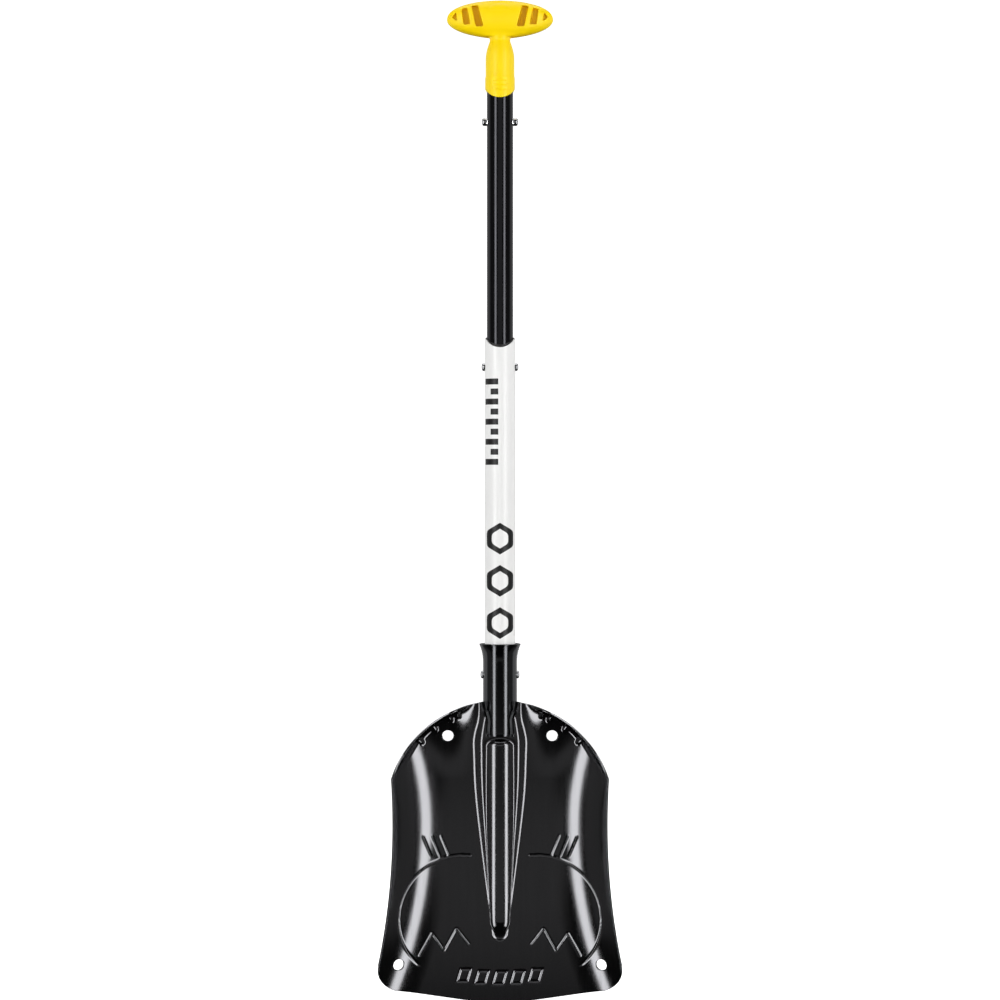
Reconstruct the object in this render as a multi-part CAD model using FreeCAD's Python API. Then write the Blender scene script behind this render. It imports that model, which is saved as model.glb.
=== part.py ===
import FreeCAD, Part
import math
import os

from FreeCAD import Vector

# Avalanche shovel with a two-part telescoping shaft, in millimetres.
# +Z runs up the shaft, the blade points down, and the scoop opens towards -Y.
# X = Y = 0 is the shaft's axis and Z = 0 is the lowest point of the blade's edge.

# ---- tubes -------------------------------------------------------------------
upper_tube_radius = 11.85
tube_wall = 1.2
bushing_wall = 0.67         # between the two tubes
socket_wall = 1.4
running_clearance = 0.08
glue_gap = 0.05
cut_over = 5.0              # how far a cutting shape runs on past what it cuts

# ---- stations along the shaft ------------------------------------------------
socket_length = 82.8        # from the socket's lower end to its mouth
socket_above_blade = 49.5   # how far the mouth stands above the blade's top edge
plug_above_blade = 0.7      # the shaft's end stays just above the blade's top edge
white_tube_visible = 266.0  # mouth of the socket to the low point of the lower tube's top edge
handle_gap_when_stowed = 3.4
stow_travel = 220.5         # distance between the two upper button stations
button_below_mouth = 28.0   # socket button under the socket's mouth
button_below_top = 17.3     # extension button under the lower tube's top edge
overlap_below_button = 34.8  # upper tube's end below the extension button
tube_in_handle = 32.0       # how far the upper tube is glued into the handle

# ---- snap buttons and their springs ------------------------------------------
button_radius = 3.5
button_hole_clearance = 0.25
button_flange_radius = 4.4
button_flange_thickness = 1.0
button_tip_rounding = 1.3
button_proud = 2.3          # beyond the outermost tube it passes through
extension_button_proud = 2.8
stow_button_proud = 4.6
strip_thickness = 0.6
strip_width = 7.0
strip_above_button = 6.0
strip_below_button = 17.6   # down to the bottom of the bend, whatever the tube's bore

# ---- socket mouth ------------------------------------------------------------
flare_length = 16.5
flare_growth = 3.6

# ---- plastic pieces in the shaft ---------------------------------------------
saddle_margin = 0.5         # the saddle edges are curved this much wider than the lower tube
bushing_lip = 2.4
bushing_depth = 9.0
bush_flange_height = 6.0
bush_spigot_height = 12.0
bush_wall = 2.0
plug_flange_height = 2.0
plug_flange_inset = 0.2
plug_hole_radius = 4.0
plug_spigot_height = 6.0
plug_wall = 1.4

# ---- handle ------------------------------------------------------------------
grip_half_width = 48.15
grip_half_depth = 15.0
grip_half_height = 16.65
handle_wall_bottom = 1.6
handle_wall_top = 1.2
neck_radius = 8.6
neck_length = 27.0          # from the end of the glued tube to the grip's underside
neck_overlap = 4.0          # how far the neck runs up into the grip
neck_shoulder_height = 9.0  # the sleeve narrows to the neck over about twice this height
sleeve_step = 2.0           # the sleeve's taper ends this far above the glued tube
pocket_web = 5.0            # plastic left between the front and the back pockets
pocket_width = 5.6
pocket_centres = (20.8, 30.9, 40.4)
pocket_heights = (19.5, 15.5, 9.5)
pocket_leans = (15.0, 11.0, -8.0)
pocket_rounding = 0.3       # share of the pocket's width
pocket_above_centre = 1.5

# ---- blade outline -----------------------------------------------------------
blade_height = 270.9
top_arc_extra = 7.0         # how much larger than the waist's half width the top arc is
waist_half_width = 95.0
waist_below_top = 109.9
side_arc_radius = 600.0
nose_radius = 230.0
nose_angle = 8.0
bottom_corner_radius = 20.0
shoulder_corner_radius = 4.0

# ---- blade sheet -------------------------------------------------------------
sheet_thickness = 2.0
socket_proud = 0.33         # how far the socket stands in front of the panel's middle
wall_radius = 68.0
wall_steepest = 58.0
wall_start = 41.5
bend_line_radius_below = 385.0
bend_line_radius_above = 227.0
top_curve_radius = 260.0
top_curve_steepest = 25.0
top_curve_height = 70.9      # the sheet curls forward over this much of its top
top_curve_inner = 20.0      # the channel's surroundings stay flat inside this half width
top_curve_blend = 25.0
flange_inner = 22.0
flange_blend = 24.0
flange_width = 6.8
flange_radius = 6.0
flange_steepest = 68.0

# ---- stamped channel and ridge in the middle of the blade ---------------------
channel_half_width = 26.0
channel_tip_half_width = 8.0
channel_tip_z = 62.0
channel_taper = 0.137
channel_rounding = 3.0
channel_depth = 4.5
channel_ramp_share = 0.42
channel_top_narrowing = 5.8
channel_narrowing_start = 40.0
channel_narrowing_length = 34.0
channel_roll_off = 9.5
channel_roll_length = 20.0
channel_roll_ramp = 4.0
ridge_crown_top = 0.3
ridge_crown_tip = 2.5
ridge_tip_z = 72.0
ridge_tip_fall = 18.0
ridge_end_drop = 7.0
ridge_start_gap = 8.0       # between the socket's end and the ridge's full height
ridge_fillet = 1.5

# ---- lashing holes -----------------------------------------------------------
lashing_hole_radius = 5.0
top_hole_x = 46.6
top_hole_below_edge = 32.0
corner_hole_from_side = 17.54
corner_hole_z = 34.7

# ---- notch and welds ---------------------------------------------------------
notch_clearance = 0.3
notch_steps = 5
slab_margin = 5.0           # how far the formed slab runs past the blade's outline
fine_margin = 4.0           # how far the finer spans run past the channel
slab_spans = (20, 34, 20)
slab_rows = 84
weld_radius = 1.5
weld_gap = 0.05
weld_below_edge = 10.0
front_weld_points = 6       # the bead in front follows the curl at the blade's top edge
back_weld_points = 3        # the bead behind is nearly straight

# ---- derived radii -----------------------------------------------------------
lower_bore = upper_tube_radius + running_clearance + bushing_wall + glue_gap
lower_tube_radius = lower_bore + tube_wall
saddle_radius = lower_tube_radius + saddle_margin
upper_bore = upper_tube_radius - tube_wall
socket_bore = lower_tube_radius + running_clearance
socket_radius = socket_bore + socket_wall
panel_forward = socket_radius - socket_proud  # the flat panel lies this far in front of the axis

# ---- derived heights ---------------------------------------------------------
mouth_z = blade_height + socket_above_blade
socket_end_z = mouth_z - socket_length
plug_z = blade_height + plug_above_blade
lower_tube_bottom_z = plug_z + plug_flange_height
lower_tube_top_z = mouth_z + white_tube_visible
socket_button_z = mouth_z - button_below_mouth
extension_button_z = lower_tube_top_z - button_below_top
stow_button_z = extension_button_z + stow_travel
upper_tube_bottom_z = extension_button_z - overlap_below_button
handle_bottom_z = lower_tube_top_z + handle_gap_when_stowed + stow_travel
upper_tube_top_z = handle_bottom_z + tube_in_handle
grip_centre_z = upper_tube_top_z + neck_length + grip_half_height - neck_overlap
waist_z = blade_height - waist_below_top
top_arc_radius = waist_half_width + top_arc_extra
top_arc_centre_z = blade_height - top_arc_radius
top_curve_start = blade_height - top_curve_height
ridge_start_z = socket_end_z - ridge_start_gap


# ---- small geometry helpers --------------------------------------------------
def smooth_step(value):
    """0 below 0, 1 above 1, with a smooth rise between."""
    t = min(1.0, max(0.0, value))
    return t * t * (3.0 - 2.0 * t)


def bend_rise(run, radius, steepest_degrees):
    """Height gained by a sheet that bends up with a radius and then runs on straight."""
    if run <= 0.0:
        return 0.0
    steepest = math.radians(steepest_degrees)
    curved = radius * math.sin(steepest)
    if run < curved:
        return radius - math.sqrt(radius * radius - run * run)
    return radius * (1.0 - math.cos(steepest)) + (run - curved) * math.tan(steepest)


def tube(outer, inner, bottom, top):
    """Round tube on the shaft's axis."""
    body = Part.makeCylinder(outer, top - bottom, Vector(0, 0, bottom))
    return body.cut(Part.makeCylinder(inner, top - bottom + 2.0, Vector(0, 0, bottom - 1.0)))


def box_between(low, high):
    """Box between two opposite corners."""
    size = [b - a for a, b in zip(low, high)]
    return Part.makeBox(size[0], size[1], size[2], Vector(*low))


def cross_hole(z, reach):
    """Round bar along X, for the holes that a pair of snap buttons passes through."""
    radius = button_radius + button_hole_clearance
    return Part.makeCylinder(radius, 2.0 * reach, Vector(-reach, 0, z), Vector(1, 0, 0))


def above_saddle(low_z, high_z, half):
    """Space above a saddle edge, lowest at x = 0, running along Y."""
    rise = saddle_radius - math.sqrt(saddle_radius ** 2 - half ** 2)
    front_y = -grip_half_width
    left = Vector(-half, front_y, low_z + rise)
    right = Vector(half, front_y, low_z + rise)
    arc = Part.Arc(left, Vector(0, front_y, low_z), right).toShape()
    corners = [right, Vector(half, front_y, high_z), Vector(-half, front_y, high_z), left]
    sides = [Part.makeLine(a, b) for a, b in zip(corners, corners[1:])]
    return Part.Face(Part.Wire([arc] + sides)).extrude(Vector(0, -2.0 * front_y, 0))


# ---- blade: outline seen from the front ---------------------------------------
def side_x(z):
    """Half width of the blade along its waisted side."""
    return waist_half_width + side_arc_radius - math.sqrt(side_arc_radius ** 2 - (z - waist_z) ** 2)


def bottom_z(x):
    """Height of the bottom edge: a round nose that runs into two straight stretches."""
    angle = math.radians(nose_angle)
    tangent_x = nose_radius * math.sin(angle)
    if abs(x) <= tangent_x:
        return nose_radius - math.sqrt(nose_radius ** 2 - x * x)
    return nose_radius * (1.0 - math.cos(angle)) + (abs(x) - tangent_x) * math.tan(angle)


def top_z(x):
    """Height of the round top edge."""
    return top_arc_centre_z + math.sqrt(top_arc_radius ** 2 - x * x)


def corner_where(edge_z, first_z):
    """Corner where the waisted side meets the edge given by edge_z."""
    z = first_z
    for _ in range(40):
        x = side_x(z)
        z = edge_z(x)
    return x, z


def outline_prism(front_y, back_y):
    """Blade outline as a prism along Y, with its four corners rounded."""
    low_x, low_z = corner_where(bottom_z, 0.0)
    high_x, high_z = corner_where(top_z, waist_z)
    angle = math.radians(nose_angle)
    nose_x = nose_radius * math.sin(angle)

    def at(x, z):
        return Vector(x, front_y, z)

    middle_z = (low_z + high_z) / 2.0
    edges = [
        Part.Arc(at(-nose_x, bottom_z(nose_x)), at(0, 0), at(nose_x, bottom_z(nose_x))).toShape(),
        Part.makeLine(at(nose_x, bottom_z(nose_x)), at(low_x, low_z)),
        Part.Arc(at(low_x, low_z), at(side_x(middle_z), middle_z), at(high_x, high_z)).toShape(),
        Part.Arc(at(high_x, high_z), at(0, blade_height), at(-high_x, high_z)).toShape(),
        Part.Arc(at(-high_x, high_z), at(-side_x(middle_z), middle_z), at(-low_x, low_z)).toShape(),
        Part.makeLine(at(-low_x, low_z), at(-nose_x, bottom_z(nose_x))),
    ]
    prism = Part.Face(Part.Wire(edges)).extrude(Vector(0, back_y - front_y, 0))
    for corner_x, corner_z, radius in (
        (low_x, low_z, bottom_corner_radius),
        (high_x, high_z, shoulder_corner_radius),
    ):
        uprights = []
        for edge in prism.Edges:
            centre = edge.CenterOfMass
            near = math.hypot(abs(centre.x) - corner_x, centre.z - corner_z) < 0.01
            if near:
                uprights.append(edge)
        prism = prism.makeFillet(radius, uprights)
    return prism


# ---- blade: how far the sheet stands in front of the flat panel ----------------
def channel_half(z):
    """Half width of the leaf-shaped channel."""
    taper = channel_tip_half_width + (z - channel_tip_z) * channel_taper
    short = channel_half_width - taper
    half = channel_half_width - (short + math.hypot(short, channel_rounding)) / 2.0
    narrowing = smooth_step((z - (blade_height - channel_narrowing_start)) / channel_narrowing_length)
    return half - channel_top_narrowing * narrowing


def channel_rise(x, z):
    """The stamped channel, below the panel, with the ridge along its middle."""
    half = channel_half(max(z, channel_tip_z))
    if z >= channel_tip_z:
        inside = half - abs(x)
    else:
        inside = half - math.hypot(x, z - channel_tip_z)
    roll = max(0.0, (z - (blade_height - channel_roll_length)) / channel_roll_length) ** 2
    depth = channel_depth * half / channel_half_width + channel_roll_off * roll
    ramp = channel_ramp_share * half + channel_roll_ramp * roll
    floor = -depth * smooth_step(inside / ramp)
    along = (z - ridge_tip_z) / (ridge_start_z - ridge_tip_z)
    crown = ridge_crown_tip + (ridge_crown_top - ridge_crown_tip) * min(1.0, max(0.0, along))
    crown -= ridge_end_drop * smooth_step((ridge_tip_z - z) / ridge_tip_fall)
    crown -= ridge_end_drop * smooth_step((z - ridge_start_z) / ridge_start_gap)
    ridge = crown - (socket_radius - math.sqrt(max(0.0, socket_radius ** 2 - x * x)))
    gap = floor - ridge
    return (floor + ridge + math.hypot(gap, ridge_fillet * smooth_step(inside / ramp))) / 2.0


def sheet_rise(x, z):
    """How far the middle of the sheet stands in front of the flat panel's middle."""
    drop = z - waist_z
    line_radius = bend_line_radius_below if drop < 0.0 else bend_line_radius_above
    start = wall_start + drop * drop / (2.0 * line_radius)
    rise = bend_rise(abs(x) - start, wall_radius, wall_steepest)
    beside_channel = smooth_step((abs(x) - top_curve_inner) / top_curve_blend)
    rise += beside_channel * bend_rise(z - top_curve_start, top_curve_radius, top_curve_steepest)
    from_centre = math.hypot(x, z - top_arc_centre_z)
    flange_run = from_centre - (top_arc_radius - flange_width)
    along_top = smooth_step((z - top_curve_start) / top_curve_blend)
    along_top *= smooth_step((abs(x) - flange_inner) / flange_blend)
    rise += along_top * bend_rise(flange_run, flange_radius, flange_steepest)
    return rise + channel_rise(x, z)


def sheet_normal(x, z):
    """Unit vector out of the scoop side of the sheet."""
    step = 0.2
    slope_x = -(sheet_rise(x + step, z) - sheet_rise(x - step, z)) / (2.0 * step)
    slope_z = -(sheet_rise(x, z + step) - sheet_rise(x, z - step)) / (2.0 * step)
    return Vector(slope_x, -1.0, slope_z).normalize()


def sheet_middle(x, z):
    """Point on the middle of the sheet."""
    return Vector(x, -(panel_forward + sheet_rise(x, z)), z)


def smooth_surface(poles):
    """Cubic surface that follows a grid of poles."""
    knots = []
    mults = []
    for count in (len(poles), len(poles[0])):
        spans = count - 3
        knots.append([float(i) for i in range(spans + 1)])
        mults.append([4] + [1] * (spans - 1) + [4])
    surface = Part.BSplineSurface()
    surface.buildFromPolesMultsKnots(
        poles, mults[0], mults[1], knots[0], knots[1], False, False, 3, 3
    )
    return surface


def spread(limits, steps):
    """Evenly spaced values between each pair of limits."""
    values = [limits[0]]
    for low, high, count in zip(limits, limits[1:], steps):
        values += [low + (high - low) * (i + 1) / count for i in range(count)]
    return values


def sheet_slab():
    """Formed sheet, larger than the outline all round."""
    low_x, low_z = corner_where(bottom_z, 0.0)
    reach = low_x + slab_margin
    inner = channel_half_width + fine_margin
    xs = spread((-reach, -inner, inner, reach), slab_spans)
    zs = spread((-slab_margin, blade_height + slab_margin), (slab_rows,))
    faces = []
    for side in (0.5, -0.5):
        poles = []
        for x in xs:
            offset = sheet_thickness * side
            poles.append([sheet_middle(x, z) + sheet_normal(x, z) * offset for z in zs])
        faces.append(smooth_surface(poles))
    front, back = faces
    u0, u1, v0, v1 = front.bounds()
    borders = []
    for surface in (front, back):
        borders.append([surface.uIso(u0), surface.uIso(u1), surface.vIso(v0), surface.vIso(v1)])
    shells = [front.toShape(), back.toShape()]
    for a, b in zip(borders[0], borders[1]):
        shells.append(Part.makeRuledSurface(a.toShape(), b.toShape()))
    shell = Part.makeShell(shells)
    shell.sewShape()
    solid = Part.makeSolid(shell)
    if solid.Volume < 0.0:
        solid.reverse()
    return solid


def lashing_hole(x, z, normal):
    """Round bar through the sheet."""
    reach = sheet_thickness + cut_over
    start = sheet_middle(x, z) - normal * reach
    return Part.makeCylinder(lashing_hole_radius, 2.0 * reach, start, normal)


def notch_half(z):
    """Half width at which the back of the sheet just clears the socket's wall."""
    low, high = 0.0, socket_radius
    for _ in range(40):
        x = (low + high) / 2.0
        back = panel_forward + sheet_rise(x, z) - sheet_thickness / 2.0
        if math.hypot(x, max(0.0, back)) < socket_radius:
            low = x
        else:
            high = x
    return high + notch_clearance


def socket_notch():
    """Slot in the blade's top edge that the socket passes through, as a prism along Y."""
    front_y = -2.0 * panel_forward
    top = blade_height - notch_clearance
    side_points = []
    for i in range(notch_steps + 1):
        z = socket_end_z + (top - socket_end_z) * i / notch_steps
        side_points.append((notch_half(z), z))
    side_points.append((side_points[-1][0], blade_height + cut_over))
    corners = [Vector(x, front_y, z) for x, z in side_points]
    corners += [Vector(-x, front_y, z) for x, z in reversed(side_points)]
    outline = Part.makePolygon(corners + [corners[0]])
    return Part.Face(outline).extrude(Vector(0, 2.0 * panel_forward - front_y, 0))


def make_blade():
    """Stamped aluminium scoop: walled sides, flanged round top, channel and ridge."""
    deepest = bend_rise(2.0 * waist_half_width, wall_radius, wall_steepest)
    cutter = outline_prism(-panel_forward - deepest, 2.0 * panel_forward)
    cutter = cutter.cut(socket_notch())
    top_hole_z = blade_height - top_hole_below_edge
    corner_hole_x = side_x(corner_hole_z) - corner_hole_from_side
    for side in (-1.0, 1.0):
        cutter = cutter.cut(lashing_hole(side * top_hole_x, top_hole_z, Vector(0, -1, 0)))
        normal = sheet_normal(side * corner_hole_x, corner_hole_z)
        cutter = cutter.cut(lashing_hole(side * corner_hole_x, corner_hole_z, normal))
    return largest_solid(sheet_slab().common(cutter))


def largest_solid(shape):
    """The biggest solid of a shape, without any crumbs that a cut leaves."""
    return max(shape.Solids, key=lambda solid: solid.Volume)


# ---- socket -------------------------------------------------------------------
def make_socket():
    """Round socket with a bell mouth, welded into the blade's notch."""
    flare_radius = (flare_length ** 2 + flare_growth ** 2) / (2.0 * flare_growth)
    flare_start = mouth_z - flare_length

    def wall_side(radius):
        half_z = mouth_z - flare_length / 2.0
        half_growth = flare_radius - math.sqrt(flare_radius ** 2 - (flare_length / 2.0) ** 2)
        return (
            Vector(radius, 0, socket_end_z),
            Vector(radius, 0, flare_start),
            Vector(radius + half_growth, 0, half_z),
            Vector(radius + flare_growth, 0, mouth_z),
        )

    inner = wall_side(socket_bore)
    outer = wall_side(socket_radius)
    edges = [
        Part.makeLine(inner[0], outer[0]),
        Part.makeLine(outer[0], outer[1]),
        Part.Arc(outer[1], outer[2], outer[3]).toShape(),
        Part.makeLine(outer[3], inner[3]),
        Part.Arc(inner[3], inner[2], inner[1]).toShape(),
        Part.makeLine(inner[1], inner[0]),
    ]
    socket = Part.Face(Part.Wire(edges)).revolve(Vector(0, 0, 0), Vector(0, 0, 1), 360)
    return socket.cut(cross_hole(socket_button_z, socket_radius + cut_over))


def bead_centre(side, front, z):
    """Centre of a weld bead that touches both the socket's wall and the sheet."""
    reach = weld_radius + weld_gap
    from_axis = socket_radius + reach
    low, high = 0.0, math.pi / 2.0
    for _ in range(40):
        angle = (low + high) / 2.0
        x = from_axis * math.sin(angle)
        offset = (sheet_thickness / 2.0 + reach) / abs(sheet_normal(x, z).y)
        level = panel_forward + sheet_rise(x, z) + (offset if front else -offset)
        if from_axis * math.cos(angle) > level:
            low = angle
        else:
            high = angle
    return Vector(side * from_axis * math.sin(low), -from_axis * math.cos(low), z)


def make_weld(side, front):
    """Weld bead along one side of the notch, on the scoop side or behind."""
    start = socket_end_z + weld_radius
    end = blade_height - weld_below_edge
    count = front_weld_points if front else back_weld_points
    spacing = (end - start) / (count - 1)
    centres = [bead_centre(-1.0, front, start + spacing * i) for i in range(count)]
    curve = Part.BSplineCurve()
    curve.interpolate(centres)
    path = Part.Wire([curve.toShape()])
    ring = Part.Wire([Part.Circle(centres[0], curve.tangent(0)[0], weld_radius).toShape()])
    bead = path.makePipeShell([ring], True, False)
    return bead if side < 0.0 else bead.mirror(Vector(0, 0, 0), Vector(1, 0, 0))


# ---- lower tube and what it carries ----------------------------------------------
def make_lower_tube():
    """White lower tube with a saddle-shaped top edge and two pairs of button holes."""
    high = lower_tube_top_z + saddle_radius
    body = tube(lower_tube_radius, lower_bore, lower_tube_bottom_z, high)
    half = (lower_tube_radius + saddle_radius) / 2.0
    body = body.cut(above_saddle(lower_tube_top_z, high + cut_over, half))
    for z in (socket_button_z, extension_button_z):
        body = body.cut(cross_hole(z, lower_tube_radius + cut_over))
    return body


def make_tube_bushing():
    """Nylon bushing in the lower tube's top, with a lip that follows its edge."""
    bottom = lower_tube_top_z - bushing_depth
    high = lower_tube_top_z + bushing_lip + saddle_radius
    ring = tube(lower_bore - glue_gap, upper_tube_radius + running_clearance, bottom, high)
    half = (lower_tube_radius + saddle_radius) / 2.0
    return ring.cut(above_saddle(lower_tube_top_z + bushing_lip, high + cut_over, half))


def make_lower_end_plug():
    """Plastic plug that closes the lower tube's end."""
    flange_top = plug_z + plug_flange_height
    flange = tube(lower_tube_radius - plug_flange_inset, plug_hole_radius, plug_z, flange_top)
    spigot_radius = lower_bore - glue_gap
    spigot = tube(spigot_radius, spigot_radius - plug_wall, flange_top, flange_top + plug_spigot_height)
    return flange.fuse(spigot).removeSplitter()


# ---- upper tube and what it carries ----------------------------------------------
def make_upper_tube():
    """Black upper tube with the holes of both button pairs."""
    body = tube(upper_tube_radius, upper_bore, upper_tube_bottom_z, upper_tube_top_z)
    for z in (extension_button_z, stow_button_z):
        body = body.cut(cross_hole(z, upper_tube_radius + cut_over))
    return body


def make_guide_bush():
    """Plastic guide on the upper tube's end, which slides in the lower tube."""
    bottom = upper_tube_bottom_z - bush_flange_height
    outer = lower_bore - running_clearance
    spigot = upper_bore - glue_gap
    flange = tube(outer, spigot - bush_wall, bottom, upper_tube_bottom_z)
    top = upper_tube_bottom_z + bush_spigot_height
    return flange.fuse(tube(spigot, spigot - bush_wall, bottom, top)).removeSplitter()


def make_handle():
    """Moulded T-grip: a lens-shaped bar with blind pockets, a neck and a tube socket."""
    squash = FreeCAD.Matrix()
    squash.scale(grip_half_width, grip_half_depth, grip_half_height)
    grip = Part.makeSphere(1.0).transformGeometry(squash)
    grip.translate(Vector(0, 0, grip_centre_z))
    pocket_floor = pocket_web / 2.0
    for centre, height, lean in zip(pocket_centres, pocket_heights, pocket_leans):
        for side in (-1.0, 1.0):
            for face in (-1.0, 1.0):
                pocket = box_between(
                    (-pocket_width / 2.0, pocket_floor, -height / 2.0),
                    (pocket_width / 2.0, pocket_floor + grip_half_depth, height / 2.0),
                )
                uprights = [e for e in pocket.Edges if abs(e.tangentAt(0).y) > 0.9]
                pocket = pocket.makeFillet(pocket_width * pocket_rounding, uprights)
                pocket.rotate(Vector(0, 0, 0), Vector(0, 1, 0), lean)
                if face < 0.0:
                    pocket = pocket.mirror(Vector(0, 0, 0), Vector(0, 1, 0))
                pocket.translate(Vector(centre, 0, grip_centre_z + pocket_above_centre))
                if side < 0.0:
                    pocket = pocket.mirror(Vector(0, 0, 0), Vector(1, 0, 0))
                grip = grip.cut(pocket)

    low = handle_bottom_z
    wide = upper_tube_radius + handle_wall_bottom
    narrow = upper_tube_radius + handle_wall_top
    shoulder = Part.BezierCurve()
    taper_z = upper_tube_top_z + sleeve_step
    middle_z = upper_tube_top_z + neck_shoulder_height
    neck_z = upper_tube_top_z + 2.0 * neck_shoulder_height
    shoulder.setPoles(
        [
            Vector(narrow, 0, taper_z),
            Vector(narrow, 0, middle_z),
            Vector(neck_radius, 0, middle_z),
            Vector(neck_radius, 0, neck_z),
        ]
    )
    corners = [
        Vector(neck_radius, 0, neck_z),
        Vector(neck_radius, 0, grip_centre_z),
        Vector(0, 0, grip_centre_z),
        Vector(0, 0, low),
        Vector(wide, 0, low),
        Vector(narrow, 0, taper_z),
    ]
    edges = [shoulder.toShape()]
    edges += [Part.makeLine(a, b) for a, b in zip(corners, corners[1:])]
    neck = Part.Face(Part.Wire(edges)).revolve(Vector(0, 0, 0), Vector(0, 0, 1), 360)
    neck = neck.common(above_saddle(low, grip_centre_z + cut_over, (wide + saddle_radius) / 2.0))
    bore_top = upper_tube_top_z + glue_gap
    bore_radius = upper_tube_radius + glue_gap
    bore = Part.makeCylinder(bore_radius, bore_top - low + cut_over, Vector(0, 0, low - cut_over))
    return grip.fuse(neck).cut(bore).removeSplitter()


# ---- snap buttons and their springs -------------------------------------------------
def flange_face(bore):
    """Distance from the axis to the outer face of a button's flange, at rest."""
    return math.sqrt(bore ** 2 - button_flange_radius ** 2) - button_hole_clearance


def make_button(side, z, bore, tip):
    """Steel button: a round-tipped pin with a flange that rests inside the tube."""
    face = flange_face(bore)
    flange = Part.makeCylinder(
        button_flange_radius,
        button_flange_thickness,
        Vector(face - button_flange_thickness, 0, 0),
        Vector(1, 0, 0),
    )
    pin = Part.makeCylinder(
        button_radius,
        tip - face + button_flange_thickness,
        Vector(face - button_flange_thickness, 0, 0),
        Vector(1, 0, 0),
    )
    rim = [e for e in pin.Edges if abs(e.CenterOfMass.x - tip) < 0.01 and e.Closed]
    pin = pin.makeFillet(button_tip_rounding, rim)
    button = pin.fuse(flange).removeSplitter()
    if side < 0.0:
        button = button.mirror(Vector(0, 0, 0), Vector(1, 0, 0))
    button.translate(Vector(0, 0, z))
    return button


def make_clip_spring(z, bore):
    """Spring strip bent into a U, with one leg behind each button of a pair."""
    outer = flange_face(bore) - button_flange_thickness
    inner = outer - strip_thickness
    half = strip_width / 2.0
    bend_z = z - strip_below_button + outer
    strip = Part.makeCylinder(outer, strip_width, Vector(0, -half, bend_z), Vector(0, 1, 0))
    strip = strip.cut(
        Part.makeCylinder(
            inner, strip_width + 2.0 * cut_over, Vector(0, -half - cut_over, bend_z), Vector(0, 1, 0)
        )
    )
    past = outer + cut_over
    strip = strip.cut(box_between((-past, -half - cut_over, bend_z), (past, half + cut_over, bend_z + past)))
    top = z + strip_above_button
    for low_x, high_x in ((inner, outer), (-outer, -inner)):
        strip = strip.fuse(box_between((low_x, -half, bend_z), (high_x, half, top)))
    return strip.removeSplitter()


# ---- all pieces ----------------------------------------------------------------------
parts = {
    "blade": make_blade(),
    "socket": make_socket(),
    "lower_tube": make_lower_tube(),
    "tube_bushing": make_tube_bushing(),
    "lower_end_plug": make_lower_end_plug(),
    "upper_tube": make_upper_tube(),
    "guide_bush": make_guide_bush(),
    "handle": make_handle(),
}
sides = {"left": -1.0, "right": 1.0}
for name, side in sides.items():
    parts["weld_front_" + name] = make_weld(side, True)
    parts["weld_back_" + name] = make_weld(side, False)

stations = {
    "socket": (socket_button_z, lower_bore, socket_radius + button_proud),
    "extension": (extension_button_z, upper_bore, lower_tube_radius + extension_button_proud),
    "stow": (stow_button_z, upper_bore, upper_tube_radius + stow_button_proud),
}
for station, (z, bore, tip) in stations.items():
    parts[station + "_clip_spring"] = make_clip_spring(z, bore)
    for name, side in sides.items():
        parts[station + "_button_" + name] = make_button(side, z, bore, tip)

os.makedirs("parts", exist_ok=True)
for node, shape in parts.items():
    shape.exportStep("parts/" + node + ".step")
    box = shape.BoundBox
    print(
        f"{node:24s} valid {shape.isValid()} solids {len(shape.Solids)} volume {shape.Volume:9.1f}"
        f"  x {box.XMin:7.1f} {box.XMax:7.1f}  y {box.YMin:7.1f} {box.YMax:7.1f}"
        f"  z {box.ZMin:7.1f} {box.ZMax:7.1f}"
    )
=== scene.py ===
import math

import bmesh
import bpy
import numpy as np
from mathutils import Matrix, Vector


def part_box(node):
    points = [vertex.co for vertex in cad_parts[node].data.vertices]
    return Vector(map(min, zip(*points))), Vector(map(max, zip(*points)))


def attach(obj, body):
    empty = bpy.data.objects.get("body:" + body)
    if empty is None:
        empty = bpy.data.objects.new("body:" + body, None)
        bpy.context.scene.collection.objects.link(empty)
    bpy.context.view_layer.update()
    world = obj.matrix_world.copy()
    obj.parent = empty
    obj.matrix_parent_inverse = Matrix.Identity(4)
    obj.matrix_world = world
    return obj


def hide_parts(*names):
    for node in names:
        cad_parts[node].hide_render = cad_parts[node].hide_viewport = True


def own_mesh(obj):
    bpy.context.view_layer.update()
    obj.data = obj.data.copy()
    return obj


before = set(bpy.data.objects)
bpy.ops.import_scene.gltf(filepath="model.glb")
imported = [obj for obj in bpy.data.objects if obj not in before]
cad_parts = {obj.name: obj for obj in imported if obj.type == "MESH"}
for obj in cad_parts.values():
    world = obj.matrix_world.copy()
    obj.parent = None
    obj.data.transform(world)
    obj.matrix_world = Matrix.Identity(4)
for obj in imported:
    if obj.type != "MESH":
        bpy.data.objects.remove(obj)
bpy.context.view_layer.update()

# ---- Blade ---------------------------------------------------------------------------
# The scoop: one blank of 2 mm aluminium sheet, pressed to shape with two raised walls, a flanged
# round top and a leaf-shaped channel with a ridge. Holes and line art are punched and pressed in
# the same tool, and the finished sheet is hard-anodised black.
MM = 0.001
scene = bpy.context.scene

socket_end_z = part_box("socket")[0].z / MM
blade_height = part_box("blade")[1].z / MM
sheet_thickness = 2.0
panel_forward = 15.0
socket_radius = 15.33
top_arc_radius = 102.0
top_arc_centre_z = blade_height - top_arc_radius
waist_half_width = 94.85
waist_z = 161.0
side_arc_radius = 600.0
nose_radius = 230.0
nose_angle = math.radians(8.0)
bottom_corner_radius = 20.0
shoulder_corner_radius = 4.0
lashing_hole_radius = 5.0
top_hole = (46.6, 238.9)
corner_hole = (90.9, 34.7)

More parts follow.
